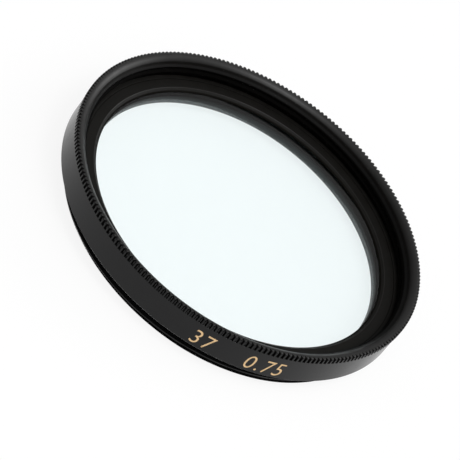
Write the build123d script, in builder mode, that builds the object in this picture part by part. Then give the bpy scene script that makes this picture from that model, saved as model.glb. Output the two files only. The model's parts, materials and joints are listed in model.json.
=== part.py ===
"""A screw in lens filter: a knurled frame, a clear glass disc and the ring that holds the glass in.

The filter lies on its threaded end. Its axis is Z, the rear end is at Z = 0 and the front faces up.
Lengths are in millimetres. Both threads are M37 x 0.75 and are left plain here, the male one at its
crest radius and the female one at its minor radius.
"""

import os
from math import cos, pi, sin

from build123d import *

# Threads
thread_radius = 18.5
male_thread_allowance = 0.025
female_thread_height = 0.35

# Heights, from the rear end to the front
spigot_length = 1.95
band_height = 3.1
knurl_height = 0.7

# Outside of the frame
rim_wall = 1.2
band_edge_chamfer = 0.25
spigot_chamfer = 0.2
spigot_relief_width = 0.4
spigot_relief_depth = 0.5

# Knurled rim
tooth_count = 244
tooth_depth = 0.28
knurl_overhang = 0.1

# Mouth of the frame, where the next filter or a hood screws in
front_land_width = 0.24
mouth_bevel_width = 0.47
mouth_bevel_depth = 0.39
entry_depth = 0.33
lead_in_depth = 0.38

# Retaining ring, pressed in on top of the glass
ring_clearance = 0.25
ring_thickness = 0.36
ring_overlap = 1.46
ring_bevel_width = 0.4
ring_bevel_depth = 0.32
ring_setback = 0.03

# Glass and the lip that it rests on
glass_thickness = 1.2
glass_edge_chamfer = 0.15
glass_clearance = 0.05
lip_height = 1.02
lip_thickness = 1.04
lip_width = 1.5
rear_flare_width = 1.39

# Places that follow from those sizes
male_thread_radius = thread_radius - male_thread_allowance
female_thread_radius = thread_radius - female_thread_height
band_radius = thread_radius + rim_wall
spigot_crest_end_z = spigot_length - spigot_relief_width
spigot_relief_radius = male_thread_radius - spigot_relief_depth

knurl_z = spigot_length + band_height
front_z = knurl_z + knurl_height
crest_radius = band_radius + knurl_overhang
groove_radius = crest_radius - tooth_depth
mouth_radius = groove_radius - front_land_width
entry_radius = mouth_radius - mouth_bevel_width
entry_z = front_z - mouth_bevel_depth
lead_in_z = entry_z - entry_depth
thread_top_z = lead_in_z - lead_in_depth

ring_radius = female_thread_radius - ring_clearance
glass_radius = ring_radius - glass_clearance
ring_opening_radius = glass_radius - ring_overlap
clear_radius = glass_radius - lip_width
rear_opening_radius = clear_radius + rear_flare_width

seat_z = lip_height + lip_thickness
ring_z = seat_z + glass_thickness
ring_top_z = ring_z + ring_thickness
thread_end_z = ring_top_z + ring_setback

os.makedirs("parts", exist_ok=True)


def tooth_corners():
    """Corners of the knurl's outline, with a crest and a groove to each tooth."""
    pitch_angle = 2 * pi / tooth_count
    corners = []
    for tooth in range(tooth_count):
        for radius, angle in (
            (crest_radius, tooth * pitch_angle),
            (groove_radius, (tooth + 0.5) * pitch_angle),
        ):
            corners.append((radius * cos(angle), radius * sin(angle)))
    return corners


# Frame: one turned piece
with BuildPart() as filter_frame:
    # Threaded spigot, shoulder and plain band, turned solid
    with BuildSketch(Plane.XZ):
        with BuildLine():
            Polyline(
                (0, 0),
                (male_thread_radius - spigot_chamfer, 0),
                (male_thread_radius, spigot_chamfer),
                (male_thread_radius, spigot_crest_end_z),
                (spigot_relief_radius, spigot_crest_end_z),
                (spigot_relief_radius, spigot_length),
                (band_radius - band_edge_chamfer, spigot_length),
                (band_radius, spigot_length + band_edge_chamfer),
                (band_radius, knurl_z),
                (0, knurl_z),
                close=True,
            )
        make_face()
    revolve(axis=Axis.Z)

    # Straight knurl round the front rim
    with BuildSketch(Plane.XY.offset(knurl_z)):
        with BuildLine():
            Polyline(*tooth_corners(), close=True)
        make_face()
    extrude(amount=knurl_height)

    # Bore: rear flare, lip, the seat that the glass and its ring share, thread and mouth
    with BuildSketch(Plane.XZ):
        with BuildLine():
            Polyline(
                (0, 0),
                (rear_opening_radius, 0),
                (clear_radius, lip_height),
                (clear_radius, seat_z),
                (ring_radius, seat_z),
                (ring_radius, thread_end_z),
                (female_thread_radius, thread_end_z),
                (female_thread_radius, thread_top_z),
                (entry_radius, lead_in_z),
                (entry_radius, entry_z),
                (mouth_radius, front_z),
                (0, front_z),
                close=True,
            )
        make_face()
    revolve(axis=Axis.Z, mode=Mode.SUBTRACT)

filter_frame.part.label = "filter_frame"
export_step(filter_frame.part, "parts/filter_frame.step")

# Glass: a flat disc with bevelled edges
with BuildPart() as glass_disc:
    with BuildSketch(Plane.XY.offset(seat_z)):
        Circle(glass_radius)
    extrude(amount=glass_thickness)
    chamfer(glass_disc.edges().filter_by(GeomType.CIRCLE), length=glass_edge_chamfer)

glass_disc.part.label = "glass_disc"
export_step(glass_disc.part, "parts/glass_disc.step")

# Retaining ring: a thin flat ring, bevelled round the front of its hole
with BuildPart() as retaining_ring:
    with BuildSketch(Plane.XZ):
        with BuildLine():
            Polyline(
                (ring_opening_radius, ring_z),
                (ring_radius, ring_z),
                (ring_radius, ring_top_z),
                (ring_opening_radius + ring_bevel_width, ring_top_z),
                (ring_opening_radius, ring_top_z - ring_bevel_depth),
                close=True,
            )
        make_face()
    revolve(axis=Axis.Z)

retaining_ring.part.label = "retaining_ring"
export_step(retaining_ring.part, "parts/retaining_ring.step")
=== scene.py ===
"""Looks of a screw in lens filter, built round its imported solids.

Sizes are in millimetres and are turned into metres where a mesh is made. The filter's axis is Z, its
threaded rear end is at Z = 0 and its front faces up. Azimuth 0 is +X, and the camera stands at -90 degrees.
"""

import json
from math import cos, pi, radians, sin, tan

import bmesh
import bpy
from mathutils import Matrix, Vector


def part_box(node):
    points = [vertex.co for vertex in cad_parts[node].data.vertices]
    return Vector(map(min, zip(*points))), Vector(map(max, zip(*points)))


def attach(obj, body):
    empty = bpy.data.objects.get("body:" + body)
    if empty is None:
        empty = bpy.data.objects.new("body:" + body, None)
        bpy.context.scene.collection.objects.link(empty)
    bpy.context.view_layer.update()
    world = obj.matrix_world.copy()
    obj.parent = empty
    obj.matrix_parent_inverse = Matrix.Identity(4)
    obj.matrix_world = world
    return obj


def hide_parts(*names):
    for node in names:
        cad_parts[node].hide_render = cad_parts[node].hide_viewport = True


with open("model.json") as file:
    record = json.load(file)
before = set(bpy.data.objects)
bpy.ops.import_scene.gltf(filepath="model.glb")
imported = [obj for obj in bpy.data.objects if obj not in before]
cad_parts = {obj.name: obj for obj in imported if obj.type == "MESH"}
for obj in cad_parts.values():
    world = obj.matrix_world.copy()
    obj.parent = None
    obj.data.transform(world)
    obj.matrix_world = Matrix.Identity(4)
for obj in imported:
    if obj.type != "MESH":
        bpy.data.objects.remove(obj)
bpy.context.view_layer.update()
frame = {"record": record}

MM = 0.001

# Sizes read from the frame
MOUNTS = {mount["name"]: mount for mount in frame["record"]["mounts"]}
MALE_RADIUS = MOUNTS["rear_thread"]["dims"]["r_mm"]
FEMALE_RADIUS = MOUNTS["front_thread"]["dims"]["r_mm"]
FRAME_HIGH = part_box("filter_frame")[1] / MM
GLASS_LOW, GLASS_HIGH = (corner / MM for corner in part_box("glass_disc"))
RING_LOW, RING_HIGH = (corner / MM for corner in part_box("retaining_ring"))
CREST_RADIUS = FRAME_HIGH.x
FRONT_Z = FRAME_HIGH.z
GLASS_RADIUS = GLASS_HIGH.x
RING_RADIUS = RING_HIGH.x

# Sizes of the frame's section, as in the part's source
SPIGOT_LENGTH = 1.95
SPIGOT_CHAMFER = 0.2
SPIGOT_RELIEF_WIDTH = 0.4
SPIGOT_RELIEF_DEPTH = 0.5
BAND_EDGE_CHAMFER = 0.25
KNURL_HEIGHT = 0.7
KNURL_OVERHANG = 0.1
TOOTH_COUNT = 244
TOOTH_DEPTH = 0.28
FRONT_LAND_WIDTH = 0.24
MOUTH_BEVEL_WIDTH = 0.47
MOUTH_BEVEL_DEPTH = 0.39
ENTRY_DEPTH = 0.33
LEAD_IN_DEPTH = 0.38
LIP_HEIGHT = 1.02
LIP_WIDTH = 1.5
REAR_FLARE_WIDTH = 1.39
GLASS_EDGE_CHAMFER = 0.15
RING_OVERLAP = 1.46
RING_SETBACK = 0.03
RING_BEVEL_WIDTH = 0.4
RING_BEVEL_DEPTH = 0.32

# Threads: M37 x 0.75, right-handed
THREAD_PITCH = 0.75
MALE_THREAD_DEPTH = 0.48
MALE_CREST_SHARE = 0.18
MALE_ROOT_SHARE = 0.24
MALE_CREST_PHASE = 0.01
MALE_END_SHARE = 0.7
FEMALE_THREAD_DEPTH = 0.28
FEMALE_CREST_SHARE = 0.22
FEMALE_ROOT_SHARE = 0.36
FEMALE_GROOVE_PHASE = 0.874
THREAD_RELIEF_WIDTH = 0.22
ROWS_PER_PITCH = 22

# Edges are broken by small rounds. A round takes at most a share of the sides that it joins, and a side
# with room for it has a support row a little past the round.
EDGE_ROUND = 0.04
BEVEL_BREAK_ROUND = 0.3
MOUTH_FRONT_ROUND = 0.3
ROUND_STEPS = 3
ROUND_SIDE_SHARE = 0.4
SUPPORT = 0.03
SUPPORT_ROOM = 4

# As the photo shows them, the front land falls gently to the mouth, and the bevel is broken in two. Its
# lower part is steeper and ends at the lead-in, which starts a little higher than in the solids.
LAND_EXTRA_WIDTH = 0.18
LAND_FALL = 0.16
BEVEL_BREAK_WIDTH = 0.3
BEVEL_BREAK_DEPTH = 0.23
LEAD_IN_RAISE = 0.09

# Gaps between faces that touch, and between the rows where two stretches of the frame meet
FACE_GAP = 0.008
ROW_GAP = 0.02

# Azimuth steps: two to a tooth, and six to a tooth on the knurl itself. A tooth has a land and steep flanks,
# and at the front its grooves are V notches.
COARSE = 2 * TOOTH_COUNT
TOOTH_SHARES = (0.0, 0.16, 0.35, 0.5, 0.65, 0.84)
TOOTH_HEIGHTS = (1.0, 0.97, 0.06, 0.0, 0.06, 0.97)
FRONT_TOOTH_HEIGHTS = (1.0, 0.93, 0.45, 0.0, 0.45, 0.93)
FLANK_STEPS = (1, 4)
FINE_PER_COARSE = len(TOOTH_SHARES) // 2

# Ends of the knurl: the teeth run out into the band below, and are bevelled and notched at the front
BAND_END_GAP = 0.08
KNURL_LEAD = 0.05
KNURL_DROP = 0.01
KNURL_RUN_OUT = 0.08
RUN_OUT_STEPS = 6
CREST_RISE_RATE = 1.4
KNURL_FRONT_BEVEL = 0.05
KNURL_EDGE = 0.02
CREST_EASE = 0.004
FRONT_NOTCH_DEPTH = 0.08
FRONT_NOTCH_HEIGHT = 0.2
NOTCH_BEVEL_SHARE = 0.7

BAND_RADIUS = CREST_RADIUS - KNURL_OVERHANG
GROOVE_RADIUS = CREST_RADIUS - TOOTH_DEPTH
NOTCH_RADIUS = GROOVE_RADIUS - FRONT_NOTCH_DEPTH
KNURL_Z = FRONT_Z - KNURL_HEIGHT
MOUTH_RADIUS = GROOVE_RADIUS - FRONT_LAND_WIDTH - LAND_EXTRA_WIDTH
MOUTH_Z = FRONT_Z - LAND_FALL
ENTRY_RADIUS = MOUTH_RADIUS - MOUTH_BEVEL_WIDTH
BREAK_RADIUS = MOUTH_RADIUS - BEVEL_BREAK_WIDTH
BREAK_Z = MOUTH_Z - BEVEL_BREAK_DEPTH
LEAD_IN_Z = FRONT_Z - MOUTH_BEVEL_DEPTH - ENTRY_DEPTH + LEAD_IN_RAISE
THREAD_TOP_Z = LEAD_IN_Z - LEAD_IN_RAISE - LEAD_IN_DEPTH
THREAD_END_Z = RING_HIGH.z + RING_SETBACK
RING_OPENING_RADIUS = GLASS_RADIUS - RING_OVERLAP
CLEAR_RADIUS = GLASS_RADIUS - LIP_WIDTH
SEAT_Z = GLASS_LOW.z
SPIGOT_CREST_END_Z = SPIGOT_LENGTH - SPIGOT_RELIEF_WIDTH
SPIGOT_RELIEF_RADIUS = MALE_RADIUS - SPIGOT_RELIEF_DEPTH


# Azimuths, in radians

def coarse_angles():
    return [pi * step / TOOTH_COUNT for step in range(COARSE)]


def fine_angles():
    pitch = 2 * pi / TOOTH_COUNT
    return [(tooth + share) * pitch for tooth in range(TOOTH_COUNT) for share in TOOTH_SHARES]


COARSE_ANGLES = coarse_angles()
FINE_ANGLES = fine_angles()


# Section points

def rounded(corners, closed=False, edge_round=EDGE_ROUND):
    """Points along a section whose corners are rounded, with a support point either side of each.

    A corner with a third value has that as its own round.
    """
    points = []
    count = len(corners)
    for index, corner in enumerate(corners):
        here = Vector(corner[:2])
        if not closed and index in (0, count - 1):
            points.append(here)
            continue
        back = Vector(corners[index - 1][:2]) - here
        ahead = Vector(corners[(index + 1) % count][:2]) - here
        back_length, ahead_length = back.length, ahead.length
        back.normalize()
        ahead.normalize()
        turn = pi - back.angle(ahead)
        reach = (corner[2] if len(corner) > 2 else edge_round) * tan(turn / 2)
        reach = min(reach, ROUND_SIDE_SHARE * back_length, ROUND_SIDE_SHARE * ahead_length)
        if back_length > SUPPORT_ROOM * (reach + SUPPORT):
            points.append(here + back * (reach + SUPPORT))
        start, end = here + back * reach, here + ahead * reach
        for step in range(ROUND_STEPS + 1):
            share = step / ROUND_STEPS
            straight = start.lerp(end, share)
            bow = 2 * share * (1 - share)
            points.append(straight.lerp(here, bow))
        if ahead_length > SUPPORT_ROOM * (reach + SUPPORT):
            points.append(here + ahead * (reach + SUPPORT))
    return [tuple(point) for point in points]


def turned_rows(points):
    """Rows of a plain turned stretch: the same radius and height all the way round."""
    return [[(r, z)] * COARSE for r, z in points]


def smooth(share):
    """Eases from 0 to 1."""
    share = min(max(share, 0.0), 1.0)
    return share * share * (3 - 2 * share)


def thread_height(z, angle, crest_phase, crest_share, root_share):
    """How high a right-handed thread stands at a point, from 0 at the root to 1 at the crest."""
    phase = (z / THREAD_PITCH - angle / (2 * pi) - crest_phase) % 1.0
    from_crest = min(phase, 1.0 - phase)
    crest_end = crest_share / 2
    root_start = 0.5 - root_share / 2
    return 1.0 - min(max((from_crest - crest_end) / (root_start - crest_end), 0.0), 1.0)


def levels(low, high):
    """Heights of the rows that follow a thread from low to high."""
    count = max(2, round((high - low) / THREAD_PITCH * ROWS_PER_PITCH))
    return [low + (high - low) * step / count for step in range(count + 1)]


# Rows of the frame, from the rear end up the outside and down the inside, in groups that each have a finish.
# The outside is satin, and knurled rows are satin with the flanks of their teeth darkened as painted shade.
# The front plane and the bevel have a gloss that fades downward, a painted shade on the lower bevel. The
# mouth is matte and darker deeper down as painted shade, with the ring's finish on the ledge at its foot, and
# the rear lip has a sheen that fades toward the glass seat as painted shade.

SATIN, MATTE_AND_SHADE, LIP, BEVEL, LEDGE, GROOVE, KNURLED = range(7)


def male_thread_rows():
    rows = []
    for z in levels(0, SPIGOT_CREST_END_Z - ROW_GAP):
        envelope = min(MALE_RADIUS, MALE_RADIUS - SPIGOT_CHAMFER + z)
        row = []
        for angle in COARSE_ANGLES:
            height = thread_height(z, angle, MALE_CREST_PHASE, MALE_CREST_SHARE, MALE_ROOT_SHARE)
            row.append((min(envelope, MALE_RADIUS - MALE_THREAD_DEPTH * (1 - height)), z))
        rows.append(row)
    return rows


def female_thread_rows():
    rows = []
    crest_phase = FEMALE_GROOVE_PHASE - 0.5
    flare = (ENTRY_RADIUS - FEMALE_RADIUS) / (LEAD_IN_Z - THREAD_TOP_Z)
    for z in reversed(levels(THREAD_END_Z + THREAD_RELIEF_WIDTH, LEAD_IN_Z - ROW_GAP)):
        envelope = FEMALE_RADIUS + flare * max(0.0, z - THREAD_TOP_Z)
        row = []
        for angle in COARSE_ANGLES:
            height = thread_height(z, angle, crest_phase, FEMALE_CREST_SHARE, FEMALE_ROOT_SHARE)
            row.append((max(envelope, FEMALE_RADIUS + FEMALE_THREAD_DEPTH * (1 - height)), z))
        rows.append(row)
    return rows


def knurl_levels():
    """Heights of the knurl's rows with the radius of the crests and of the grooves."""
    rows = [(KNURL_Z - KNURL_LEAD, BAND_RADIUS, BAND_RADIUS)]
    for step in range(RUN_OUT_STEPS + 1):
        share = step / RUN_OUT_STEPS
        crest = BAND_RADIUS + KNURL_OVERHANG * smooth(CREST_RISE_RATE * share)
        groove = BAND_RADIUS + (GROOVE_RADIUS - BAND_RADIUS) * smooth(share)
        rows.append((KNURL_Z - KNURL_DROP + KNURL_RUN_OUT * share, crest, groove))
    bevel_z = FRONT_Z - KNURL_FRONT_BEVEL
    bevel_top = CREST_RADIUS - KNURL_FRONT_BEVEL + KNURL_EDGE
    rows.append((FRONT_Z - FRONT_NOTCH_HEIGHT, CREST_RADIUS, GROOVE_RADIUS))
    bevel_groove = GROOVE_RADIUS - NOTCH_BEVEL_SHARE * FRONT_NOTCH_DEPTH
    rows.append((bevel_z, CREST_RADIUS - CREST_EASE, bevel_groove))
    rows.append((FRONT_Z - KNURL_EDGE, bevel_top, NOTCH_RADIUS + 0.5 * KNURL_EDGE))
    rows.append((FRONT_Z, bevel_top - 1.5 * KNURL_EDGE, NOTCH_RADIUS))
    rows.append((FRONT_Z, NOTCH_RADIUS - 1.5 * KNURL_EDGE, NOTCH_RADIUS - 1.5 * KNURL_EDGE))
    return rows


def knurl_rows():
    rows = []
    for z, crest, groove in knurl_levels():
        heights = TOOTH_HEIGHTS if z < FRONT_Z - KNURL_FRONT_BEVEL else FRONT_TOOTH_HEIGHTS
        row = []
        for step in range(len(FINE_ANGLES)):
            height = heights[step % len(heights)]
            row.append((groove + (crest - groove) * height, z))
        rows.append(row)
    return rows


def frame_groups():
    outside = rounded(
        [
            (MALE_RADIUS - MALE_THREAD_DEPTH, SPIGOT_CREST_END_Z),
            (SPIGOT_RELIEF_RADIUS, SPIGOT_CREST_END_Z),
            (SPIGOT_RELIEF_RADIUS, SPIGOT_LENGTH),
            (BAND_RADIUS - BAND_EDGE_CHAMFER, SPIGOT_LENGTH),
            (BAND_RADIUS, SPIGOT_LENGTH + BAND_EDGE_CHAMFER),
            (BAND_RADIUS, KNURL_Z - BAND_END_GAP),
        ]
    )
    mouth = rounded(
        [
            (NOTCH_RADIUS - 3 * KNURL_EDGE, FRONT_Z),
            (MOUTH_RADIUS, MOUTH_Z, MOUTH_FRONT_ROUND),
            (BREAK_RADIUS, BREAK_Z, BEVEL_BREAK_ROUND),
            (ENTRY_RADIUS, LEAD_IN_Z),
        ]
    )
    relief_radius = FEMALE_RADIUS + FEMALE_THREAD_DEPTH
    ledge = (relief_radius + RING_RADIUS) / 2
    seat = (RING_RADIUS + CLEAR_RADIUS) / 2
    foot = rounded(
        [
            (relief_radius, THREAD_END_Z + THREAD_RELIEF_WIDTH - ROW_GAP),
            (relief_radius, THREAD_END_Z),
            (ledge, THREAD_END_Z),
        ]
    )
    inside = rounded(
        [
            (ledge, THREAD_END_Z),
            (RING_RADIUS, THREAD_END_Z),
            (RING_RADIUS, SEAT_Z),
            (seat, SEAT_Z),
        ]
    )[1:]
    rear = rounded(
        [
            (seat - ROW_GAP, SEAT_Z),
            (CLEAR_RADIUS, SEAT_Z),
            (CLEAR_RADIUS, LIP_HEIGHT),
            (CLEAR_RADIUS + REAR_FLARE_WIDTH, 0),
            (MALE_RADIUS - MALE_END_SHARE * MALE_THREAD_DEPTH, 0),
        ]
    )
    knurl = knurl_rows()
    return [
        (SATIN, male_thread_rows()),
        (SATIN, turned_rows(outside)),
        (SATIN, knurl[:1]),
        (KNURLED, knurl[1:-2]),
        (BEVEL, knurl[-2:]),
        (BEVEL, turned_rows(mouth)),
        (MATTE_AND_SHADE, female_thread_rows()),
        (MATTE_AND_SHADE, turned_rows(foot[:-2])),
        (LEDGE, turned_rows(foot[-2:] + inside[:1])),
        (MATTE_AND_SHADE, turned_rows(inside[1:])),
        (LIP, turned_rows(rear)),
    ]


# Meshes

SHARP_ANGLE = radians(40)


def row_points(row):
    angles = COARSE_ANGLES if len(row) == COARSE else FINE_ANGLES
    return [(r * cos(a) * MM, r * sin(a) * MM, z * MM) for (r, z), a in zip(row, angles)]


def band_faces(start_a, count_a, start_b, count_b):
    """Faces between two rows. Where one has more steps, each coarse step takes several fine ones."""
    per_a = FINE_PER_COARSE if count_a > COARSE else 1
    per_b = FINE_PER_COARSE if count_b > COARSE else 1
    steps = max(count_a, count_b) if per_a == per_b else COARSE
    if per_a == per_b:
        per_a = per_b = 1
    faces = []
    for step in range(steps):
        side_a = [start_a + (step * per_a + k) % count_a for k in range(per_a + 1)]
        side_b = [start_b + (step * per_b + k) % count_b for k in range(per_b + 1)]
        faces.append(side_a + side_b[::-1])
    return faces


def ring_mesh(name, groups):
    """A closed ring from groups of rows, each row joined to the next and the last to the first."""
    rows = [(finish, row) for finish, group in groups for row in group]
    verts, faces, finishes, starts = [], [], [], []
    for _, row in rows:
        starts.append(len(verts))
        verts.extend(row_points(row))
    for index, (finish, row) in enumerate(rows):
        after = (index + 1) % len(rows)
        band = band_faces(starts[index], len(row), starts[after], len(rows[after][1]))
        faces.extend(band)
        for step in range(len(band)):
            # On a knurled row, the flanks of the teeth take the groove finish, which is painted shade
            on_flank = step % len(TOOTH_SHARES) in FLANK_STEPS
            finishes.append((GROOVE if on_flank else SATIN) if finish == KNURLED else finish)
    piece = new_object(name, verts, faces)
    piece.data.polygons.foreach_set("material_index", finishes)
    return piece


def disc_mesh(name, points):
    """A solid disc from rows at the given section points, closed by a fan at both ends."""
    rows = turned_rows(points)
    verts, faces = [], []
    for row in rows:
        verts.extend(row_points(row))
    for index in range(len(rows) - 1):
        faces.extend(band_faces(index * COARSE, COARSE, (index + 1) * COARSE, COARSE))
    last = (len(rows) - 1) * COARSE
    faces.append(list(range(COARSE))[::-1])
    faces.append(list(range(last, last + COARSE)))
    return new_object(name, verts, faces)


def new_object(name, verts, faces):
    mesh = bpy.data.meshes.new(name)
    mesh.from_pydata(verts, [], faces)
    mesh.validate()
    mesh.polygons.foreach_set("use_smooth", [True] * len(mesh.polygons))
    mesh.set_sharp_from_angle(angle=SHARP_ANGLE)
    mesh.update()
    piece = bpy.data.objects.new(name, mesh)
    bpy.context.scene.collection.objects.link(piece)
    return piece


# Materials

# The middle range of a noise, which is spread over a range of values
NOISE_LOW = 0.3
NOISE_HIGH = 0.7

# Textures: scales are in waves to the metre, and the marks' height is in metres
MARK_SCALE = 22000.0
MARK_DETAIL = 3.0
MARK_ROUGHNESS = 0.03
MARK_HEIGHT = 0.000004
MOTTLE_SCALE = 900.0
MOTTLE_DETAIL = 4.0
GROUND_GRAIN_SCALE = 9000.0
PRINT_GRAIN_SCALE = 14000.0
GRAIN_DETAIL = 3.0

# Black metal: pairs of dark and light colour, and of least and most roughness
SATIN_COLOURS = ((0.006, 0.006, 0.0065), (0.009, 0.009, 0.0095))
# Near black, darker than the metal outside: painted shade in the bore and on the flanks of the knurl's teeth
PAINTED_SHADE_COLOURS = ((0.0012, 0.0011, 0.001), (0.002, 0.0018, 0.0016))
LIP_COLOURS = ((0.0018, 0.002, 0.002), (0.0028, 0.003, 0.003))
LIP_SHEEN = (0.8, 1.0, 1.0, 1)
BEVEL_COLOURS = ((0.003, 0.0027, 0.0024), (0.005, 0.0045, 0.004))
RING_DARK = (0.0065, 0.006, 0.005)
RING_LIGHT = (0.009, 0.0085, 0.0075)
RING_COLOURS = (RING_DARK, RING_LIGHT)
# The foot of the ring's bevel keeps only the dark colour: painted shade
RING_FOOT_SHADE_COLOURS = (RING_DARK, RING_DARK)
SATIN_ROUGHNESS = (0.18, 0.24)
MATTE_ROUGHNESS = (0.5, 0.6)
BEVEL_ROUGHNESS = (0.34, 0.42)
RING_EDGE_ROUGHNESS = (0.4, 0.5)
RING_FOOT_ROUGHNESS = (0.6, 0.7)

# Strength of the tool marks
FRAME_MARKS = 0.35
RING_MARKS = 0.6

# Gloss: one value, or two pairs of height and gloss
SATIN_GLOSS = 0.25
# Little gloss on the flanks of the knurl's teeth: painted shade in the grooves
GROOVE_SHADE_GLOSS = 0.06
RING_GLOSS = 0.14
# More gloss on the edge of the ring's bevel: a painted highlight along its round
RING_EDGE_HIGHLIGHT_GLOSS = 0.3
# Almost no gloss at the foot of the ring's bevel: painted shade
RING_FOOT_SHADE_GLOSS = 0.02
BORE_FULL_SHADE_DEPTH = 0.26
BORE_SHADE_START_DEPTH = 0.18
BEVEL_FULL_SHADE_HEIGHT = 0.16
# The bore's gloss falls between these depths below the lead-in: painted shade deeper in the thread
BORE_SHADE_GLOSS = ((LEAD_IN_Z - BORE_FULL_SHADE_DEPTH, 0.015), (LEAD_IN_Z - BORE_SHADE_START_DEPTH, 0.13))
# Glossy at the front plane, falling toward the lead-in: painted shade on the lower bevel
BEVEL_SHADE_GLOSS = ((LEAD_IN_Z + BEVEL_FULL_SHADE_HEIGHT, 0.045), (FRONT_Z, 0.7))
# The lip's gloss falls to nothing at the glass seat: painted shade up the lip wall
LIP_SHADE_GLOSS = ((LIP_HEIGHT, 0.7), (SEAT_Z, 0.0))

# Glass and print
GLASS_COLOUR = (0.92, 0.985, 0.99, 1)
GLASS_IOR = 1.52
GROUND_COLOURS = ((0.05, 0.1, 0.1), (0.08, 0.14, 0.14))
GROUND_ROUGHNESS = 0.6
PRINT_COLOURS = ((0.84, 0.58, 0.31), (0.92, 0.66, 0.37))
PRINT_ROUGHNESS = (0.4, 0.52)
PRINT_METALLIC = 0.75


def principled(name):
    material = bpy.data.materials.new(name)
    material.use_nodes = True
    return material, material.node_tree, material.node_tree.nodes["Principled BSDF"]


def add(tree, kind, **values):
    node = tree.nodes.new(kind)
    for key, value in values.items():
        setattr(node, key, value)
    return node


def maths(tree, operation, first, second=None):
    node = add(tree, "ShaderNodeMath", operation=operation)
    for socket, value in zip(node.inputs, (first, second)):
        if value is None:
            continue
        if isinstance(value, (int, float)):
            socket.default_value = value
        else:
            tree.links.new(value, socket)
    return node.outputs[0]


def turning_coordinates(tree):
    """Radius and height as a vector, so that a texture makes rings round the axis like tool marks."""
    place = add(tree, "ShaderNodeTexCoord").outputs["Object"]
    split = add(tree, "ShaderNodeSeparateXYZ")
    tree.links.new(place, split.inputs[0])
    squares = maths(
        tree,
        "ADD",
        maths(tree, "MULTIPLY", split.outputs[0], split.outputs[0]),
        maths(tree, "MULTIPLY", split.outputs[1], split.outputs[1]),
    )
    join = add(tree, "ShaderNodeCombineXYZ")
    tree.links.new(maths(tree, "SQRT", squares), join.inputs[0])
    tree.links.new(split.outputs[2], join.inputs[1])
    return place, join.outputs[0]


def noise(tree, vector, scale, detail):
    node = add(tree, "ShaderNodeTexNoise")
    node.inputs["Scale"].default_value = scale
    node.inputs["Detail"].default_value = detail
    tree.links.new(vector, node.inputs["Vector"])
    return node.outputs["Fac"]


def spread(tree, value, low, high):
    """Maps the middle range of a noise to low and high."""
    node = add(tree, "ShaderNodeMapRange")
    node.inputs["From Min"].default_value = NOISE_LOW
    node.inputs["From Max"].default_value = NOISE_HIGH
    node.inputs["To Min"].default_value = low
    node.inputs["To Max"].default_value = high
    tree.links.new(value, node.inputs["Value"])
    return node.outputs[0]


def gloss_by_height(tree, place, low, high):
    """A gloss that changes with height, from one pair of height and gloss to another. Where it falls, it is
    painted shade.
    """
    split = add(tree, "ShaderNodeSeparateXYZ")
    tree.links.new(place, split.inputs[0])
    node = add(tree, "ShaderNodeMapRange")
    for name, value in zip(("From Min", "To Min"), (low[0] * MM, low[1])):
        node.inputs[name].default_value = value
    for name, value in zip(("From Max", "To Max"), (high[0] * MM, high[1])):
        node.inputs[name].default_value = value
    tree.links.new(split.outputs[2], node.inputs["Value"])
    return node.outputs[0]


def blend_colours(tree, factor, first, second):
    node = add(tree, "ShaderNodeMix", data_type="RGBA")
    tree.links.new(factor, node.inputs[0])
    node.inputs[6].default_value = (*first, 1)
    node.inputs[7].default_value = (*second, 1)
    return node.outputs[2]


def anodised(name, colours, rough, gloss, mark_strength):
    """Black anodised aluminium: a dyed skin with fine tool marks and a faint mottle.

    The mottle runs between the two colours and between the two values of roughness. The gloss is one value,
    or two pairs of height and gloss between which it changes; where it falls, that is painted shade.
    """
    material, tree, shader = principled(name)
    place, turned = turning_coordinates(tree)
    marks = noise(tree, turned, MARK_SCALE, MARK_DETAIL)
    mottle = noise(tree, place, MOTTLE_SCALE, MOTTLE_DETAIL)
    colour = blend_colours(tree, spread(tree, mottle, 0.0, 1.0), *colours)
    tree.links.new(colour, shader.inputs["Base Color"])
    roughness = maths(
        tree,
        "ADD",
        spread(tree, mottle, *rough),
        spread(tree, marks, -MARK_ROUGHNESS, MARK_ROUGHNESS),
    )
    tree.links.new(roughness, shader.inputs["Roughness"])
    bump = add(tree, "ShaderNodeBump")
    bump.inputs["Strength"].default_value = mark_strength
    bump.inputs["Distance"].default_value = MARK_HEIGHT
    tree.links.new(marks, bump.inputs["Height"])
    tree.links.new(bump.outputs[0], shader.inputs["Normal"])
    if isinstance(gloss, tuple):
        tree.links.new(gloss_by_height(tree, place, *gloss), shader.inputs["Specular IOR Level"])
    else:
        shader.inputs["Specular IOR Level"].default_value = gloss
    return material


def clear_glass():
    material, _, shader = principled("clear_glass")
    shader.inputs["Base Color"].default_value = GLASS_COLOUR
    shader.inputs["Transmission Weight"].default_value = 1.0
    shader.inputs["Roughness"].default_value = 0.0
    shader.inputs["IOR"].default_value = GLASS_IOR
    return material


def grain_colour(tree, shader, scale, colours):
    """Colours a shader by a fine grain that runs between two colours, and returns the grain."""
    place = add(tree, "ShaderNodeTexCoord").outputs["Object"]
    grain = noise(tree, place, scale, GRAIN_DETAIL)
    colour = blend_colours(tree, spread(tree, grain, 0.0, 1.0), *colours)
    tree.links.new(colour, shader.inputs["Base Color"])
    return grain


def ground_edge():
    """The disc's ground rim and bevels, grey-green where they are seen through the glass."""
    material, tree, shader = principled("ground_edge")
    grain_colour(tree, shader, GROUND_GRAIN_SCALE, GROUND_COLOURS)
    shader.inputs["Roughness"].default_value = GROUND_ROUGHNESS
    return material


def gold_print():
    material, tree, shader = principled("gold_print")
    grain = grain_colour(tree, shader, PRINT_GRAIN_SCALE, PRINT_COLOURS)
    tree.links.new(spread(tree, grain, *PRINT_ROUGHNESS), shader.inputs["Roughness"])
    shader.inputs["Metallic"].default_value = PRINT_METALLIC
    return material


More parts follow.
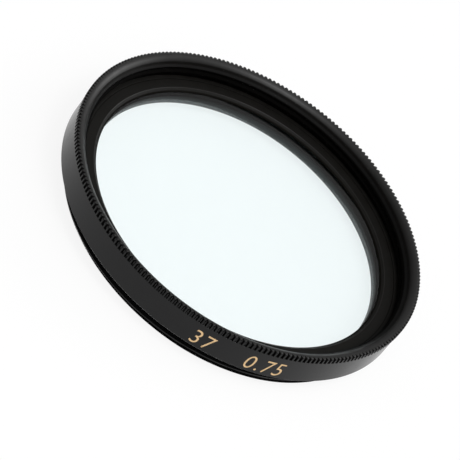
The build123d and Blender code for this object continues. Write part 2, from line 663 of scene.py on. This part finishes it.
def ring_finish():
    return anodised("matte_black", RING_COLOURS, MATTE_ROUGHNESS, RING_GLOSS, RING_MARKS)


# Pieces

def frame_materials():
    """The frame's materials, in the order of its finishes."""
    satin = anodised("black_anodised", SATIN_COLOURS, SATIN_ROUGHNESS, SATIN_GLOSS, FRAME_MARKS)
    # Painted shade: the bore is darker and loses its gloss deeper down
    bore = anodised("bore_painted_shade", PAINTED_SHADE_COLOURS, MATTE_ROUGHNESS, BORE_SHADE_GLOSS, FRAME_MARKS)
    # Painted shade: the lip's sheen fades toward the glass seat
    lip = anodised("lip_painted_shade", LIP_COLOURS, MATTE_ROUGHNESS, LIP_SHADE_GLOSS, FRAME_MARKS)
    lip.node_tree.nodes["Principled BSDF"].inputs["Specular Tint"].default_value = LIP_SHEEN
    # Painted shade: the gloss of the front plane and the bevel fades downward
    bevel = anodised("bevel_painted_shade", BEVEL_COLOURS, BEVEL_ROUGHNESS, BEVEL_SHADE_GLOSS, FRAME_MARKS)
    ledge = ring_finish()
    # Painted shade on the flanks of the knurl's teeth
    groove = anodised("groove_painted_shade", PAINTED_SHADE_COLOURS, MATTE_ROUGHNESS, GROOVE_SHADE_GLOSS, FRAME_MARKS)
    return [satin, bore, lip, bevel, ledge, groove]


def make_frame():
    piece = ring_mesh("frame_ring", frame_groups())
    for material in frame_materials():
        piece.data.materials.append(material)
    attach(piece, "root")
    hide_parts("filter_frame")


# Finishes of the retaining ring: its flat front, the edge of its bevel with a painted highlight, and the foot
# of the bevel with painted shade
FLAT, EDGE, FOOT = range(3)
RING_FOOT_SHARE = 0.36
RING_EDGE_SHARE = 0.12
RING_EDGE_WIDTH = 0.04
RING_EDGE_ROUND = 0.02
RING_TOP_ROUND = 0.06


def make_retaining_ring():
    low, high = RING_LOW.z, RING_HIGH.z
    foot = Vector((RING_OPENING_RADIUS, high - RING_BEVEL_DEPTH))
    top = Vector((RING_OPENING_RADIUS + RING_BEVEL_WIDTH, high))
    foot_end = foot.lerp(top, RING_FOOT_SHARE)
    edge_start = foot.lerp(top, 1 - RING_EDGE_SHARE)
    edge_end = top + Vector((RING_EDGE_WIDTH, 0))
    flat = rounded(
        [
            tuple(foot_end),
            tuple(foot),
            (RING_OPENING_RADIUS, low),
            (RING_RADIUS - FACE_GAP, low),
            (RING_RADIUS - FACE_GAP, high),
            tuple(edge_end),
        ],
        edge_round=RING_EDGE_ROUND,
    )
    edge = rounded([tuple(edge_end), (*top, RING_TOP_ROUND), tuple(edge_start)])
    groups = [
        (FOOT, turned_rows(flat[:-2])),
        (FLAT, turned_rows(flat[-2:-1])),
        (EDGE, turned_rows(edge[:-1])),
        (FLAT, turned_rows(edge[-1:])),
    ]
    piece = ring_mesh("glass_ring", groups)
    flat_finish = ring_finish()
    # A glossier strip along the bevel's edge: a painted highlight
    edge_highlight_finish = anodised("ring_edge_painted_highlight", RING_COLOURS, RING_EDGE_ROUGHNESS, RING_EDGE_HIGHLIGHT_GLOSS, RING_MARKS)
    # The foot of the ring's bevel, dark and dull: painted shade
    foot_shade_finish = anodised("ring_foot_painted_shade", RING_FOOT_SHADE_COLOURS, RING_FOOT_ROUGHNESS, RING_FOOT_SHADE_GLOSS, RING_MARKS)
    for material in (flat_finish, edge_highlight_finish, foot_shade_finish):
        piece.data.materials.append(material)
    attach(piece, "root")
    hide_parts("retaining_ring")


# Slot of the glass's ground edge
GROUND = 1


def make_glass():
    low, high = GLASS_LOW.z + FACE_GAP, GLASS_HIGH.z - FACE_GAP
    flat = GLASS_RADIUS - GLASS_EDGE_CHAMFER
    points = [
        (flat, low),
        (GLASS_RADIUS, low + GLASS_EDGE_CHAMFER),
        (GLASS_RADIUS, high - GLASS_EDGE_CHAMFER),
        (flat, high),
    ]
    piece = disc_mesh("glass_pane", points)
    piece.data.materials.append(clear_glass())
    piece.data.materials.append(ground_edge())
    edge_faces = COARSE * (len(points) - 1)
    for polygon in piece.data.polygons[:edge_faces]:
        polygon.material_index = GROUND
    piece.visible_shadow = False
    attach(piece, "root")
    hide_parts("glass_disc")


# Printed numbers: the thread's diameter and its pitch in millimetres
NUMERAL_HEIGHT = 1.8
NUMERAL_FOOT_Z = 2.51
NUMERAL_SLANT = 0.12
NUMERAL_WIDTH_SHARE = 0.89
NUMERAL_SPACING = 1.12
NUMERAL_THINNING = 0.007
NUMERAL_CURVE_STEPS = 6
PRINT_LIFT = 0.002
PRINT_THICKNESS = 0.01
PRINT_STEP = 0.15
NUMBERS = (("37", -80.0), ("0.75", -62.5))


def flat_number(text):
    """A number as flat faces from the plain built-in font, slanted, with its foot on the X axis."""
    curve = bpy.data.curves.new("number", "FONT")
    curve.body = text
    curve.shear = NUMERAL_SLANT
    curve.space_character = NUMERAL_SPACING
    curve.offset = -NUMERAL_THINNING
    curve.resolution_u = NUMERAL_CURVE_STEPS
    flat = bpy.data.objects.new("number", curve)
    bpy.context.scene.collection.objects.link(flat)
    graph = bpy.context.evaluated_depsgraph_get()
    mesh = bpy.data.meshes.new_from_object(flat.evaluated_get(graph))
    bpy.data.objects.remove(flat)
    shape = bmesh.new()
    shape.from_mesh(mesh)
    bpy.data.meshes.remove(mesh)
    low = min(vert.co.y for vert in shape.verts)
    left = min(vert.co.x for vert in shape.verts)
    scale = NUMERAL_HEIGHT / (max(vert.co.y for vert in shape.verts) - low)
    for vert in shape.verts:
        vert.co.x = (vert.co.x - left) * scale * NUMERAL_WIDTH_SHARE
        vert.co.y = (vert.co.y - low) * scale
    return shape


def bent_number(text, start_azimuth):
    """The number as a thin layer of paint, bent round the band from its first azimuth."""
    shape = flat_number(text)
    width = max(vert.co.x for vert in shape.verts)
    for step in range(1, int(width / PRINT_STEP) + 1):
        parts = shape.verts[:] + shape.edges[:] + shape.faces[:]
        bmesh.ops.bisect_plane(shape, geom=parts, plane_co=(step * PRINT_STEP, 0, 0), plane_no=(1, 0, 0))
    top = bmesh.ops.extrude_face_region(shape, geom=shape.faces[:])
    for vert in (item for item in top["geom"] if isinstance(item, bmesh.types.BMVert)):
        vert.co.z += PRINT_THICKNESS
    for vert in shape.verts:
        angle = radians(start_azimuth) + vert.co.x / BAND_RADIUS
        radius = BAND_RADIUS + PRINT_LIFT + vert.co.z
        vert.co = Vector((radius * cos(angle), radius * sin(angle), NUMERAL_FOOT_Z + vert.co.y)) * MM
    bmesh.ops.recalc_face_normals(shape, faces=shape.faces)
    return shape


def make_numbers():
    paint = gold_print()
    for text, start_azimuth in NUMBERS:
        shape = bent_number(text, start_azimuth)
        name = "number_" + text.replace(".", "_")
        mesh = bpy.data.meshes.new(name)
        shape.to_mesh(mesh)
        shape.free()
        mesh.materials.append(paint)
        piece = bpy.data.objects.new(name, mesh)
        bpy.context.scene.collection.objects.link(piece)
        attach(piece, "root")


# Camera

CAMERA_TILT = 0.915
CAMERA_ROLL = 0.6718
CAMERA_DISTANCE = 390.0
PIXELS_PER_MM = 9.944
PHOTO_SIZE = 460
CENTRE_PIXEL = (237.14, 219.42)
AIM_HEIGHT = 2.85
SENSOR = 36.0
NEAREST = 10.0
FARTHEST = 10000.0


def make_camera():
    """A long lens at the photo's angle. The filter stands level, so the roll is the camera's."""
    back = Vector((0, -sin(CAMERA_TILT), cos(CAMERA_TILT)))
    level_right = Vector((1, 0, 0))
    level_up = back.cross(level_right)
    right = level_right * cos(CAMERA_ROLL) + level_up * sin(CAMERA_ROLL)
    up = level_up * cos(CAMERA_ROLL) - level_right * sin(CAMERA_ROLL)
    middle = (PHOTO_SIZE - 1) / 2
    aside = (CENTRE_PIXEL[0] - middle) / PIXELS_PER_MM
    below = (CENTRE_PIXEL[1] - middle) / PIXELS_PER_MM
    place = Vector((0, 0, AIM_HEIGHT)) + back * CAMERA_DISTANCE - right * aside + up * below
    lens = bpy.data.cameras.new("camera")
    lens.sensor_width = SENSOR
    lens.lens = SENSOR * PIXELS_PER_MM * CAMERA_DISTANCE / PHOTO_SIZE
    lens.clip_start = NEAREST * MM
    lens.clip_end = FARTHEST * MM
    camera = bpy.data.objects.new("camera", lens)
    turn = Matrix((right, up, back)).transposed().to_4x4()
    camera.matrix_world = Matrix.Translation(place * MM) @ turn
    bpy.context.scene.collection.objects.link(camera)
    bpy.context.scene.camera = camera


# Stage, in metres

FLOOR_SIZE = 4.0
FLOOR_COLOUR = (0.15, 0.15, 0.15, 1)
FLOOR_ROUGHNESS = 0.9
FLOOR_GLOW = 0.88

# A soft sky: its two strengths, the cosine at which it starts to brighten and where it is brightest
SKY_DIM = 0.35
SKY_BRIGHT = 1.45
SKY_START = 0.72
SKY_BRIGHTEST = (0.36, -0.37, 0.857)

# A soft panel low on the far right: its strength, and the cosines at which it starts and is full
PANEL_TOWARD = (0.7, 0.63, 0.335)
PANEL_STRENGTH = 3.0
PANEL_START = 0.93
PANEL_FULL = 0.99

# A round lamp overhead, which faces the filter
LAMP_PLACE = (0.19, -0.19, 0.6)
LAMP_SIZE = 0.25
LAMP_POWER = 0.8


def seen_directly(tree):
    """1 for rays from the camera, from a reflection or through glass, and 0 for other light."""
    path = add(tree, "ShaderNodeLightPath")
    total = maths(tree, "ADD", path.outputs["Is Camera Ray"], path.outputs["Is Glossy Ray"])
    return maths(tree, "MINIMUM", maths(tree, "ADD", total, path.outputs["Is Transmission Ray"]), 1.0)


def make_floor():
    half = FLOOR_SIZE / 2
    verts = [(-half, -half, 0), (half, -half, 0), (half, half, 0), (-half, half, 0)]
    mesh = bpy.data.meshes.new("floor")
    mesh.from_pydata(verts, [], [(0, 1, 2, 3)])
    floor = bpy.data.objects.new("floor", mesh)
    bpy.context.scene.collection.objects.link(floor)
    material, tree, shader = principled("pale_floor")
    shader.inputs["Base Color"].default_value = FLOOR_COLOUR
    shader.inputs["Roughness"].default_value = FLOOR_ROUGHNESS
    shader.inputs["Specular IOR Level"].default_value = 0.0
    shader.inputs["Emission Color"].default_value = (1, 1, 1, 1)
    glow = maths(tree, "MULTIPLY", seen_directly(tree), FLOOR_GLOW)
    tree.links.new(glow, shader.inputs["Emission Strength"])
    floor.data.materials.append(material)


def sky_part(tree, brightest, start, full):
    """Light that grows toward one direction, from one pair of cosine and strength to another."""
    toward = add(tree, "ShaderNodeVectorMath", operation="DOT_PRODUCT")
    tree.links.new(add(tree, "ShaderNodeTexCoord").outputs["Generated"], toward.inputs[0])
    toward.inputs[1].default_value = brightest
    node = add(tree, "ShaderNodeMapRange")
    for name, value in zip(("From Min", "To Min", "From Max", "To Max"), (*start, *full)):
        node.inputs[name].default_value = value
    tree.links.new(toward.outputs["Value"], node.inputs["Value"])
    return node.outputs[0]


def make_sky():
    world = bpy.data.worlds.new("studio")
    bpy.context.scene.world = world
    world.use_nodes = True
    tree = world.node_tree
    background = tree.nodes["Background"]
    background.inputs["Color"].default_value = (1, 1, 1, 1)
    glow = sky_part(tree, SKY_BRIGHTEST, (SKY_START, SKY_DIM), (1.0, SKY_BRIGHT))
    panel = sky_part(tree, PANEL_TOWARD, (PANEL_START, 0.0), (PANEL_FULL, PANEL_STRENGTH))
    strength = maths(tree, "ADD", glow, panel)
    path = add(tree, "ShaderNodeLightPath")
    seen = maths(tree, "ADD", path.outputs["Is Camera Ray"], path.outputs["Is Transmission Ray"])
    seen = maths(tree, "MINIMUM", seen, 1.0)
    lit = maths(tree, "MULTIPLY", strength, maths(tree, "SUBTRACT", 1.0, seen))
    tree.links.new(maths(tree, "ADD", lit, seen), background.inputs["Strength"])


def make_lamp():
    light = bpy.data.lights.new("overhead", "AREA")
    light.shape = "DISK"
    light.size = LAMP_SIZE
    light.energy = LAMP_POWER
    lamp = bpy.data.objects.new("overhead", light)
    lamp.location = LAMP_PLACE
    lamp.rotation_mode = "QUATERNION"
    lamp.rotation_quaternion = Vector(LAMP_PLACE).to_track_quat("Z", "Y")
    bpy.context.scene.collection.objects.link(lamp)


bpy.context.scene.view_settings.view_transform = "Standard"
make_frame()
make_retaining_ring()
make_glass()
make_numbers()
make_camera()
make_floor()
make_sky()
make_lamp()
